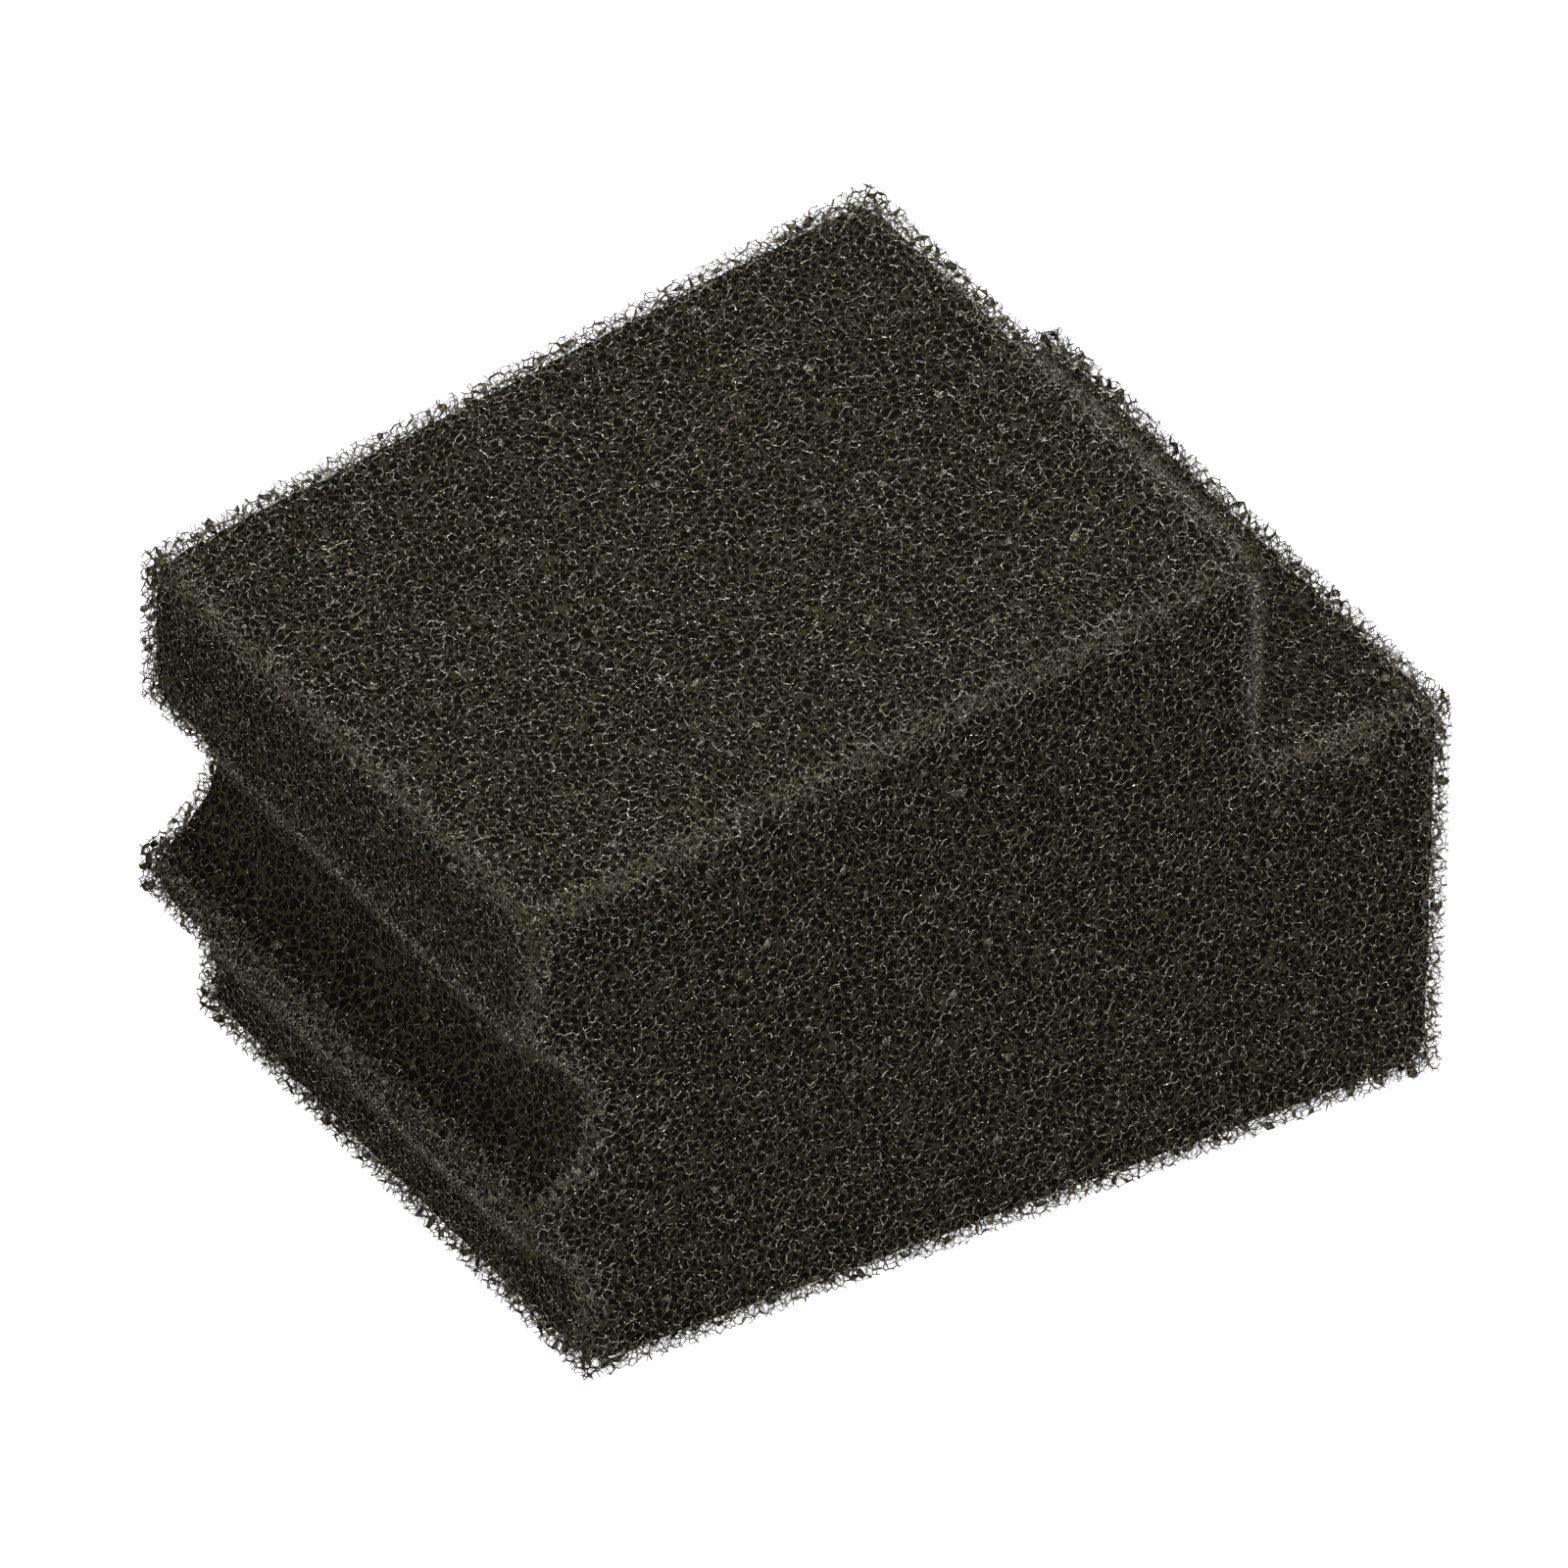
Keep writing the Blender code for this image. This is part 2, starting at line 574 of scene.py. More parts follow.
    def _sort_struts(self) -> None:
        """List the struts that start near the surface or cross it, and which ends are cut."""
        struts = self.tile.struts
        found: List[np.ndarray] = []
        for index, step in enumerate(self.laid):
            other = self._tiles_at(step + struts["hop"])
            start_depth = self.depths[index, struts["start"]]
            end_depth = self.depths[other, struts["end"]]
            start_crust = self.crust[index, struts["start"]]
            end_crust = self.crust[other, struts["end"]]
            both_in = (start_depth > 0) & (end_depth > 0)
            inside = np.maximum(start_depth, end_depth)
            fall = np.maximum(np.abs(start_depth - end_depth), TINY)
            crossing = ~both_in & (inside > self.stub * fall)
            whole = both_in & (np.minimum(start_crust, end_crust) < self.reach)
            cut_end = crossing & (start_depth > 0)
            cut_start = crossing & (end_depth > 0)
            chosen = np.flatnonzero((whole | cut_end | cut_start) & (other >= 0))
            cuts = np.where(whole, Cut.NONE, np.where(cut_end, Cut.END, Cut.START))[chosen]
            found.append(
                np.column_stack([np.full(len(chosen), index), other[chosen], chosen, cuts])
            )
        self.strut_list = np.vstack(found)
        LOG.info("struts %d", len(self.strut_list))

    def _at_kept_ends(self, table: np.ndarray) -> np.ndarray:
        """Read a table of the nodes, at the kept end of each listed strut."""
        first, other, which, cuts = self.strut_list.T
        from_end = cuts == Cut.START
        start, end = self.tile.struts["start"][which], self.tile.struts["end"][which]
        return table[np.where(from_end, other, first), np.where(from_end, end, start)]

    def strut_sides(self) -> np.ndarray:
        """Name the side that each listed strut belongs to."""
        return self._at_kept_ends(self.side_of)

    def strut_places(self) -> np.ndarray:
        """Give the place of each listed strut's kept end."""
        return self._at_kept_ends(self.places)

    def _ring(self, tiles: np.ndarray, nodes: np.ndarray, cells: np.ndarray) -> np.ndarray:
        """Give the corners that nodes turn towards some of their cells.

        Args:
            tiles: each node's tile.
            nodes: the nodes in those tiles.
            cells: three or four cells for each node, as places among the node's four. The
                three cells round a strut give the corners of its section.

        Returns:
            Corner places, one for each cell.
        """
        toward = self.tile.toward[nodes[:, None], cells] @ self.turn.T
        girth = (self.strut * self.tile.girth[nodes])[:, None, None]
        return self.places[tiles, nodes][:, None, :] + toward * girth

    def _cut_corners(self, start_ring: np.ndarray, end_ring: np.ndarray) -> np.ndarray:
        """Give the places where struts' three corner lines pass through the block's wall."""
        start_depth = self.solid.depth(start_ring)
        end_depth = self.solid.depth(end_ring)
        fall = np.where(start_depth == end_depth, 1.0, start_depth - end_depth)
        share = np.clip(start_depth / fall, 0.0, 1.0)
        return (start_ring + share[..., None] * (end_ring - start_ring)).reshape(-1, 3)

    def mesh(self, name: str, chosen: np.ndarray) -> bpy.types.Mesh:
        """Build the chosen struts as one mesh of three-sided bars, closed at every end.

        Bars that meet at a node share its four corners, one in each cell that meets there, so
        the bars run into each other as foam's struts do.

        Args:
            name: the mesh's name.
            chosen: which of the listed struts to build.

        Returns:
            The mesh.
        """
        struts, count = self.tile.struts, len(self.tile.nodes)
        first, other, which, cuts = self.strut_list[chosen].T
        start, end = struts["start"][which], struts["end"][which]
        start_cells, end_cells = struts["start_cells"][which], struts["end_cells"][which]
        start_ring = self._ring(first, start, start_cells)
        end_ring = self._ring(other, end, end_cells)
        along = self.places[other, end] - self.places[first, start]
        backwards = (facing_of(start_ring) * along).sum(1) < 0
        cut_start, cut_end, cut = cuts == Cut.START, cuts == Cut.END, cuts != Cut.NONE
        start_code = ((first * count + start)[:, None] * 4 + start_cells)[~cut_start]
        end_code = ((other * count + end)[:, None] * 4 + end_cells)[~cut_end]
        nodes = np.unique(np.concatenate([start_code.ravel(), end_code.ravel()]) // 4)
        four = np.tile(np.arange(4), (len(nodes), 1))
        held = (nodes[:, None] * 4 + four).ravel()
        node_corners = self._ring(nodes // count, nodes % count, four).reshape(-1, 3)
        cut_corners = self._cut_corners(start_ring[cut], end_ring[cut])
        cut_numbers = len(held) + np.arange(len(cut_corners)).reshape(-1, 3)
        near_end = np.empty((len(cuts), 3), int)
        far_end = np.empty((len(cuts), 3), int)
        near_end[~cut_start] = np.searchsorted(held, start_code)
        far_end[~cut_end] = np.searchsorted(held, end_code)
        near_end[cut_start] = cut_numbers[cut_start[cut]]
        far_end[cut_end] = cut_numbers[cut_end[cut]]
        for ring in (near_end, far_end):
            ring[backwards] = ring[backwards][:, ::-1]
        caps = [
            far_end[cut_end],
            near_end[cut_start][:, ::-1],
            self._node_caps(held, start_code, end_code),
        ]
        vertices = np.vstack([node_corners, cut_corners])
        mesh = filled_mesh(name, vertices, bar_sides(near_end, far_end), np.vstack(caps))
        note_shade(mesh, self.solid)
        lay_map(mesh)
        return mesh

    def skins(self, name: str, bulge: float) -> bpy.types.Mesh:
        """Build the skins that some windows keep, each a thin closed lens.

        Args:
            name: the mesh's name.
            bulge: how far a skin's middle stands out on each side.

        Returns:
            The mesh.
        """
        places, triangles, count = [], [], 0
        for nodes, hops in self.tile.windows:
            for step in self.laid:
                tiles = self._tiles_at(step + hops)
                crust = np.where(tiles >= 0, self.crust[tiles, nodes], np.inf)
                deep_enough = (crust < 2 * self.reach).all(axis=1)
                whole = deep_enough & (crust < self.reach).any(axis=1)
                if not whole.any():
                    continue
                rims = self.places[tiles[whole], nodes[whole]]
                windows, corners = rims.shape[:2]
                middle = rims.mean(axis=1)
                facing = np.cross(rims[:, 0] - middle, rims[:, 1] - middle)
                facing *= bulge / np.linalg.norm(facing, axis=1, keepdims=True)
                lens = np.concatenate(
                    [rims, (middle + facing)[:, None], (middle - facing)[:, None]], axis=1
                )
                first = count + (corners + 2) * np.arange(windows)[:, None]
                here = np.arange(corners)
                after = (here + 1) % corners
                for edge, tip in (((here, after), corners), ((after, here), corners + 1)):
                    fan = [first + part for part in (*edge, np.full(corners, tip))]
                    triangles.append(np.stack(fan, axis=-1).reshape(-1, 3))
                places.append(lens.reshape(-1, 3))
                count += len(places[-1])
        mesh = filled_mesh(name, np.vstack(places), np.empty((0, 4), int), np.vstack(triangles))
        note_shade(mesh, self.solid)
        lay_map(mesh)
        LOG.info("%s: %d triangles", name, len(mesh.polygons))
        return mesh

    def _node_caps(
        self, held: np.ndarray, start_code: np.ndarray, end_code: np.ndarray
    ) -> np.ndarray:
        """Close each node on the sides where no strut leaves it.

        Args:
            held: the numbers of the corners in use, in rising order.
            start_code: the corners at whole struts' first ends.
            end_code: the corners at whole struts' second ends.

        Returns:
            Triangles of places in held.
        """
        used = np.concatenate([start_code, end_code])
        missing_cell = 6 - (used % 4).sum(1)
        taken = np.unique(used[:, 0] // 4 * 4 + missing_cell)
        bare = np.setdiff1d(held, taken)
        cell = bare % 4
        rest = np.array([[1, 2, 3], [0, 2, 3], [0, 1, 3], [0, 1, 2]])[cell]
        toward = self.tile.toward[(bare // 4) % len(self.tile.nodes)]
        facing = facing_of(np.take_along_axis(toward, rest[..., None], axis=1))
        away = -toward[np.arange(len(cell)), cell]
        inward = (facing * away).sum(1) < 0
        rest[inward] = rest[inward][:, ::-1]
        return np.searchsorted(held, bare[:, None] // 4 * 4 + rest)


def facing_of(rings: np.ndarray) -> np.ndarray:
    """Give the way that each ring of three corners faces."""
    return np.cross(rings[:, 1] - rings[:, 0], rings[:, 2] - rings[:, 0])


def bar_sides(near: np.ndarray, far: np.ndarray) -> np.ndarray:
    """Join rings of three corners, two by two, with three four-sided faces each."""
    sides = [
        np.stack([near[:, a], near[:, b], far[:, b], far[:, a]], axis=1)
        for a, b in ((0, 1), (1, 2), (2, 0))
    ]
    return np.concatenate(sides)


def placed(name: str, data: bpy.types.ID) -> bpy.types.Object:
    """Make an object and put it in the scene."""
    thing = bpy.data.objects.new(name, data)
    bpy.context.scene.collection.objects.link(thing)
    return thing


def filled_mesh(
    name: str, vertices: np.ndarray, quads: np.ndarray, triangles: np.ndarray
) -> bpy.types.Mesh:
    """Make a smooth-shaded mesh straight from arrays, which suits many thousands of bars.

    Args:
        name: the mesh's name.
        vertices: corner places.
        quads: four-sided faces.
        triangles: three-sided faces.

    Returns:
        The mesh.
    """
    mesh = bpy.data.meshes.new(name)
    mesh.vertices.add(len(vertices))
    mesh.vertices.foreach_set("co", vertices.astype(np.float32).ravel())
    corners = np.concatenate([quads.ravel(), triangles.ravel()])
    mesh.loops.add(len(corners))
    mesh.loops.foreach_set("vertex_index", corners.astype(np.int32))
    starts = np.concatenate(
        [4 * np.arange(len(quads)), 4 * len(quads) + 3 * np.arange(len(triangles))]
    )
    mesh.polygons.add(len(starts))
    mesh.polygons.foreach_set("loop_start", starts.astype(np.int32))
    mesh.polygons.foreach_set("use_smooth", np.ones(len(starts), bool))
    mesh.update(calc_edges=True)
    mesh.validate()
    return mesh


def vertex_places(mesh: bpy.types.Mesh) -> np.ndarray:
    """Give a mesh's vertices as rows of coordinates."""
    places = np.empty(3 * len(mesh.vertices), np.float32)
    mesh.vertices.foreach_get("co", places)
    return places.reshape(-1, 3).astype(float)


def note_depths(mesh: bpy.types.Mesh, name: str, depths: np.ndarray) -> None:
    """Write a depth at each vertex, in millimetres, for the materials to read."""
    values = (depths / MILLIMETRE).astype(np.float32)
    mesh.attributes.new(name, "FLOAT", "POINT").data.foreach_set("value", values)


def note_shade(mesh: bpy.types.Mesh, solid: BlockSolid) -> None:
    """Write how sheltered each vertex is."""
    note_depths(mesh, SHADE, solid.shade(vertex_places(mesh)))


def settle(mesh: bpy.types.Mesh, solid: BlockSolid, rise: float) -> None:
    """Set a mesh a little off true, as the soft block stands.

    Args:
        mesh: the mesh, which is moved.
        solid: the block that it belongs to.
        rise: how far the top goes up at the high end's back, and down at its front.
    """
    places = vertex_places(mesh)
    along = (places[:, 0] - solid.low[0]) / (solid.high[0] - solid.low[0])
    across = 2 * (places[:, 1] - solid.low[1]) / (solid.high[1] - solid.low[1]) - 1
    upward = (places[:, 2] - solid.low[2]) / (solid.high[2] - solid.low[2])
    places[:, 2] += rise * along * across * upward
    mesh.vertices.foreach_set("co", places.astype(np.float32).ravel())
    mesh.update()


def lay_map(mesh: bpy.types.Mesh) -> None:
    """Lay a map for baked colours: length runs along U and shelter along V.

    Args:
        mesh: a mesh of many small bars that already notes its shade. Bars stacked behind each
            other share the map, and those that are as sheltered as each other look alike.
    """
    places = vertex_places(mesh)
    shade = np.empty(len(mesh.vertices), np.float32)
    mesh.attributes[SHADE].data.foreach_get("value", shade)
    longest = int(np.argmax(np.ptp(places, axis=0)))
    spread = [(v - v.min()) / max(np.ptp(v), TINY) for v in (places[:, longest], shade)]
    corners = np.empty(len(mesh.loops), np.int32)
    mesh.loops.foreach_get("vertex_index", corners)
    flat = 0.01 + 0.98 * np.stack(spread, axis=1)[corners]
    layer = mesh.uv_layers.new(name=BAKE_MAP)
    layer.data.foreach_set("uv", flat.astype(np.float32).ravel())


# ----------------------------------------------------------------------------------- the pieces


@dataclass
class FoamPieces:
    """The network's pieces: each side's cells, in bands of a bearable size.

    Args:
        network: the struts.
        most_struts: the most that one piece may hold. A strut takes seven or eight triangles,
            so that a piece stays near 200,000 of them at most.
        skin_bulge: how far a window's skin stands out at its middle.
    """

    network: FoamNetwork
    most_struts: int = 26_000
    skin_bulge: float = 0.05 * MILLIMETRE

    def build(self) -> List[bpy.types.Object]:
        """Build every band of every side.

        Returns:
            The pieces.
        """
        sides = self.network.strut_sides()
        places = self.network.strut_places()
        made = []
        for region in Region:
            own = np.flatnonzero(sides == region.value)
            if not len(own):
                continue
            bands = math.ceil(len(own) / self.most_struts)
            order = own[np.argsort(places[own, 0], kind="stable")]
            for number, part in enumerate(np.array_split(order, bands), start=1):
                name = f"{region.value}_cells_{number}"
                mesh = self.network.mesh(name, part)
                made.append(placed(name, mesh))
                count = len(mesh.loops) - 2 * len(mesh.polygons)
                LOG.info("%s: %d struts, %d triangles", name, len(part), count)
        return made

    def build_skins(self) -> bpy.types.Object:
        """Build the skins left in some windows, as one piece."""
        return placed("cell_skins", self.network.skins("cell_skins", self.skin_bulge))


@dataclass
class FoamHeart:
    """The opaque heart, where the cells lie too deep to be told apart.

    Args:
        solid: the block round it.
        depth: how far its skin lies under a flat wall, at the least.
        rough: a quarter of how much deeper its skin goes from place to place.
        ripple: how long the waves of that roughness are.
        ripple_ways: each wave's direction, and where it starts.
        voxel: the grain of its skin.
        passes: how many steps sink the skin.
        stride: the longest step that a point of it takes.
        nudge: how far off the depth is read on each side of a point, to find its slope.
        least_slope: the least that the slope, squared, counts as.
    """

    solid: BlockSolid
    depth: float = 0.25 * MILLIMETRE
    rough: float = 0.05 * MILLIMETRE
    ripple: float = 3.1 * MILLIMETRE
    ripple_ways: Tuple[Tuple[Tuple[float, float, float], float], ...] = (
        ((0.8, 0.5, 0.2), 0.0),
        ((-0.3, 0.7, 0.9), 1.0),
    )
    voxel: float = 1.3 * MILLIMETRE
    passes: int = 14
    stride: float = 0.8 * MILLIMETRE
    nudge: float = 0.3 * MILLIMETRE
    least_slope: float = 0.05

    def build(self) -> bpy.types.Object:
        """Remesh a copy of the block, then sink its skin to where light fades."""
        copy = placed("foam_heart", self.solid.node.data.copy())
        copy.data.materials.clear()
        remesh = copy.modifiers.new("even_skin", "REMESH")
        remesh.mode = "VOXEL"
        remesh.voxel_size = self.voxel
        graph = bpy.context.evaluated_depsgraph_get()
        mesh = bpy.data.meshes.new_from_object(copy.evaluated_get(graph))
        copy.modifiers.clear()
        copy.data = mesh
        places = vertex_places(mesh)
        normals = np.empty(3 * len(mesh.vertices), np.float32)
        mesh.vertices.foreach_get("normal", normals)
        places -= normals.reshape(-1, 3) * self.depth / 2
        wave = 2 * math.pi / self.ripple
        ripples = [
            np.sin(wave * places @ np.array(way) + start) for way, start in self.ripple_ways
        ]
        target = self.depth + self.rough * (len(ripples) + sum(ripples))
        for _ in range(self.passes):
            places = self._sunk(places, target)
        mesh.vertices.foreach_set("co", places.astype(np.float32).ravel())
        mesh.update()
        mesh.polygons.foreach_set("use_smooth", np.ones(len(mesh.polygons), bool))
        note_depths(mesh, UNDER_WALL, self.solid.depth(places))
        return copy

    def _sunk(self, places: np.ndarray, target: np.ndarray) -> np.ndarray:
        """Move each point along the way light fades, towards its own depth."""
        crust_depth = self.solid.crust_depth
        rises = [
            crust_depth(places + self.nudge * axis) - crust_depth(places - self.nudge * axis)
            for axis in np.eye(3)
        ]
        slope = np.stack(rises, axis=-1) / (2 * self.nudge)
        short = target - crust_depth(places)
        steep = np.maximum((slope**2).sum(1), self.least_slope)
        step = (short / steep)[:, None] * slope
        size = np.linalg.norm(step, axis=1, keepdims=True)
        return places + step * np.minimum(1.0, self.stride / np.maximum(size, TINY))


# --------------------------------------------------------------------------------- the finishes


def new_material(name: str) -> Tuple[bpy.types.Material, bpy.types.Node]:
    """Start a material, and give its surface shader with it."""
    material = bpy.data.materials.new(name)
    material.use_nodes = True
    return material, material.node_tree.nodes["Principled BSDF"]


def noted(material: bpy.types.Material, name: str) -> bpy.types.NodeSocket:
    """Add a node that reads the depths noted under a name, and give its output."""
    node = material.node_tree.nodes.new("ShaderNodeAttribute")
    node.attribute_name = name
    return node.outputs["Fac"]


def textured(material: bpy.types.Material, kind: str, scale: float) -> bpy.types.Node:
    """Add a texture on Object coordinates, with a scale per metre, and give its node."""
    nodes, links = material.node_tree.nodes, material.node_tree.links
    place = nodes.new("ShaderNodeTexCoord")
    texture = nodes.new(kind)
    texture.inputs["Scale"].default_value = scale
    links.new(place.outputs["Object"], texture.inputs["Vector"])
    return texture


def ranged(
    material: bpy.types.Material,
    value: bpy.types.NodeSocket,
    given: Tuple[float, float],
    wanted: Tuple[float, float],
) -> bpy.types.NodeSocket:
    """Add a node that carries one range of a value over to another, and give its output."""
    node = material.node_tree.nodes.new("ShaderNodeMapRange")
    for name, number in zip(("From Min", "From Max", "To Min", "To Max"), given + wanted):
        node.inputs[name].default_value = number
    material.node_tree.links.new(value, node.inputs["Value"])
    return node.outputs["Result"]


def scaled(
    material: bpy.types.Material, colour: bpy.types.NodeSocket, by: bpy.types.NodeSocket
) -> bpy.types.NodeSocket:
    """Add a node that makes a colour brighter or darker, and give its output."""
    node = material.node_tree.nodes.new("ShaderNodeVectorMath")
    node.operation = "SCALE"
    material.node_tree.links.new(colour, node.inputs[0])
    material.node_tree.links.new(by, node.inputs["Scale"])
    return node.outputs[0]


def colour_ramp(
    material: bpy.types.Material,
    value: bpy.types.NodeSocket,
    shades: Tuple[Tuple[float, Colour], ...],
) -> bpy.types.NodeSocket:
    """Add nodes that colour a surface by a value.

    Args:
        material: the material they go in.
        value: what the colour follows.
        shades: values in rising order, each with its colour.

    Returns:
        The colour's socket.
    """
    first, last = shades[0][0], shades[-1][0]
    ramp = material.node_tree.nodes.new("ShaderNodeValToRGB")
    stops = ramp.color_ramp.elements
    for level, colour in shades[1:-1]:
        stops.new((level - first) / (last - first)).color = (*colour, 1.0)
    stops[0].color = (*shades[0][1], 1.0)
    stops[len(stops) - 1].color = (*shades[-1][1], 1.0)
    share = ranged(material, value, (first, last), (0.0, 1.0))
    material.node_tree.links.new(share, ramp.inputs["Fac"])
    return ramp.outputs["Color"]


def add_bump(material: bpy.types.Material, grain: float, height: float) -> None:
    """Roughen a material's surface with fine noise.

    Args:
        material: the material, whose surface shader stands under its usual name.
        grain: the noise's scale, per metre.
        height: how tall the noise stands, in metres.
    """
    nodes, links = material.node_tree.nodes, material.node_tree.links
    bump = nodes.new("ShaderNodeBump")
    bump.inputs["Distance"].default_value = height
    links.new(textured(material, NOISE, grain).outputs["Fac"], bump.inputs["Height"])
    links.new(bump.outputs["Normal"], nodes["Principled BSDF"].inputs["Normal"])


@dataclass(frozen=True)
class StrutFinish:
    """Black polyurethane struts: dark and warm, with a gloss that glints.

    They carry painted shade: they are darker where they are sheltered. Beside edges, where light
    comes through the foam
    from behind, they carry painted light: lighter and more olive, and they are less glossy.
    Light-coloured painted glints break them up. The plain gloss and bend are what an export keeps,
    where it drops those that vary.
    """

    # Colours by shade: above zero, deeper in, they are painted shade; below zero, beside edges and
    # corners, painted light.
    shades: Tuple[Tuple[float, Colour], ...] = (
        (-2.8, (0.190, 0.175, 0.104)),
        (-1.75, (0.026, 0.0236, 0.0118)),
        (-0.7, (0.020, 0.0178, 0.0094)),
        (0.0, (0.0185, 0.0163, 0.0092)),
        (0.65, (0.0055, 0.0047, 0.0026)),
        (2.4, (0.0026, 0.0022, 0.0014)),
    )
    # Painted glints: a light colour laid over the struts where the noise runs high, shown only where
    # there is sheen.
    fleck: Colour = (0.32, 0.311, 0.288)
    painted_glint_band: Tuple[float, float] = (0.61, 0.76)
    grain: float = 2400.0
    # Random tone, spread so wide that the struts break into bright painted specks.
    tone_and_painted_specks: Tuple[float, float] = (0.05, 3.1)
    roughness: Tuple[float, float] = (0.08, 0.42)
    sheen: Tuple[Tuple[float, float], ...] = (
        (-1.3, 0.05),
        (-0.2, 1.0),
        (0.25, 1.0),
        (1.1, 0.3),
    )
    bend: Tuple[float, float] = (1.12, 1.95)
    plain_gloss: float = 0.7
    plain_bend: float = 1.7
    tint: Colour = (1.0, 0.94, 0.83)
    dimple: float = 0.25 * MILLIMETRE
    dimple_grain: float = 3200.0

    def material(self) -> bpy.types.Material:
        """Build the material."""
        material, shader = new_material("foam_struts")
        links = material.node_tree.links
        shader.inputs["Specular Tint"].default_value = (*self.tint, 1.0)
        shader.inputs["Specular IOR Level"].default_value = self.plain_gloss
        shader.inputs["IOR"].default_value = self.plain_bend
        add_bump(material, self.dimple_grain, self.dimple)
        shade = noted(material, SHADE)
        noise = textured(material, NOISE, self.grain).outputs["Fac"]
        greys = tuple((depth, (part, part, part)) for depth, part in self.sheen)
        sheen = colour_ramp(material, shade, greys)
        colour = self._colour(material, shade, noise, sheen)
        edge = (self.sheen[0][0], self.sheen[1][0])
        bend = ranged(material, shade, edge, self.bend)
        rough = ranged(material, noise, NOISE_SPREAD, self.roughness)
        links.new(colour, shader.inputs["Base Color"])
        links.new(rough, shader.inputs["Roughness"])
        links.new(sheen, shader.inputs["Specular IOR Level"])
        links.new(bend, shader.inputs["IOR"])
        return material

    def _colour(
        self,
        material: bpy.types.Material,
        shade: bpy.types.NodeSocket,
        noise: bpy.types.NodeSocket,
        sheen: bpy.types.NodeSocket,
    ) -> bpy.types.NodeSocket:
        """Add the colours of painted shade and light, in random tone with painted specks, and
        light-coloured painted glints where there is sheen.
        """
        nodes, links = material.node_tree.nodes, material.node_tree.links
        # Painted shade and painted light, by how sheltered each point is.
        shades = colour_ramp(material, shade, self.shades)
        tone_and_specks = ranged(material, noise, NOISE_SPREAD, self.tone_and_painted_specks)
        # Painted glints: light-coloured specks over the struts.
        pale = nodes.new("ShaderNodeRGB")
        pale.outputs[0].default_value = (*self.fleck, 1.0)
        flecks = ranged(material, noise, self.painted_glint_band, (0.0, 1.0))
        both = nodes.new("ShaderNodeVectorMath")
        both.operation = "ADD"
        links.new(scaled(material, shades, tone_and_specks), both.inputs[0])
        shown = scaled(material, scaled(material, pale.outputs[0], flecks), sheen)
        links.new(shown, both.inputs[1])
        return both.outputs[0]


@dataclass(frozen=True)
class SkinFinish:
    """The thin skin left in a few windows: dark, and shinier than the struts."""

    dark: Colour = (0.026, 0.023, 0.0155)
    light: Colour = (0.075, 0.067, 0.046)
    grain: float = 380.0
    roughness: Tuple[float, float] = (0.12, 0.34)
    gloss: float = 1.0
    tint: Colour = (1.0, 0.94, 0.82)
    ripple: float = 0.02 * MILLIMETRE
    ripple_grain: float = 2600.0

    def material(self) -> bpy.types.Material:
        """Build the material."""
        material, shader = new_material("foam_skins")
        links = material.node_tree.links
        shader.inputs["Specular IOR Level"].default_value = self.gloss
        shader.inputs["Specular Tint"].default_value = (*self.tint, 1.0)
        add_bump(material, self.ripple_grain, self.ripple)
        noise = textured(material, NOISE, self.grain).outputs["Fac"]
        shades = tuple(zip(NOISE_SPREAD, (self.dark, self.light)))
        links.new(colour_ramp(material, noise, shades), shader.inputs["Base Color"])
        rough = ranged(material, noise, NOISE_SPREAD, self.roughness)
        links.new(rough, shader.inputs["Roughness"])
        return material


@dataclass(frozen=True)
class HeartFinish:
    """Deep cells, seen as a faint web on black that is painted shade, with painted light where they
    lie beside an edge.
    """

    # Painted shade: the black between the web.
    painted_shade_hollow: Colour = (0.0050, 0.0045, 0.0030)
    web: Colour = (0.030, 0.0267, 0.0172)
    web_edges: Tuple[float, float] = (0.02, 0.12)
    cells: float = 820.0
    roughness: float = 0.8
    gloss: float = 0.0
    pitting: float = 0.1 * MILLIMETRE
    pitting_grain: float = 1500.0
    edge_depths: Tuple[float, float] = (0.55, 1.15)
    # Painted light beside edges: how much lighter the heart is made.
    painted_edge_light: Tuple[float, float] = (1.0, 2.0)

    def material(self) -> bpy.types.Material:
        """Build the material."""
        material, shader = new_material("foam_heart")
        shader.inputs["Roughness"].default_value = self.roughness
        shader.inputs["Specular IOR Level"].default_value = self.gloss
        add_bump(material, self.pitting_grain, self.pitting)
        web = textured(material, "ShaderNodeTexVoronoi", self.cells)
        web.feature = "DISTANCE_TO_EDGE"
        shades = tuple(zip(self.web_edges, (self.web, self.painted_shade_hollow)))
        colour = colour_ramp(material, web.outputs["Distance"], shades)
        # Painted light: lighter where the heart lies deeper under a wall, beside an edge.
        depth = noted(material, UNDER_WALL)
        light = ranged(material, depth, self.edge_depths, self.painted_edge_light)
        colour = scaled(material, colour, light)
        material.node_tree.links.new(colour, shader.inputs["Base Color"])
        return material


# ----------------------------------------------------------------------------------- the studio


def seen_apart(
    tree: bpy.types.NodeTree, unseen: bpy.types.NodeSocket, seen: bpy.types.NodeSocket
) -> bpy.types.NodeSocket:
    """Add a mix that shows one shader to the camera and another to all other light."""
    path = tree.nodes.new("ShaderNodeLightPath")
    mix = tree.nodes.new("ShaderNodeMixShader")
    tree.links.new(path.outputs["Is Camera Ray"], mix.inputs["Fac"])
    tree.links.new(unseen, mix.inputs[1])
    tree.links.new(seen, mix.inputs[2])
    return mix.outputs[0]


@dataclass(frozen=True)
class Lamp:
    """A round lamp that faces the block.

    Args:
        name: what it is called.
        place: where it hangs from the block's middle.
        size: how wide it is.
        power: its power, in watts.
    """

    name: str
    place: Tuple[float, float, float]
    size: float
    power: float


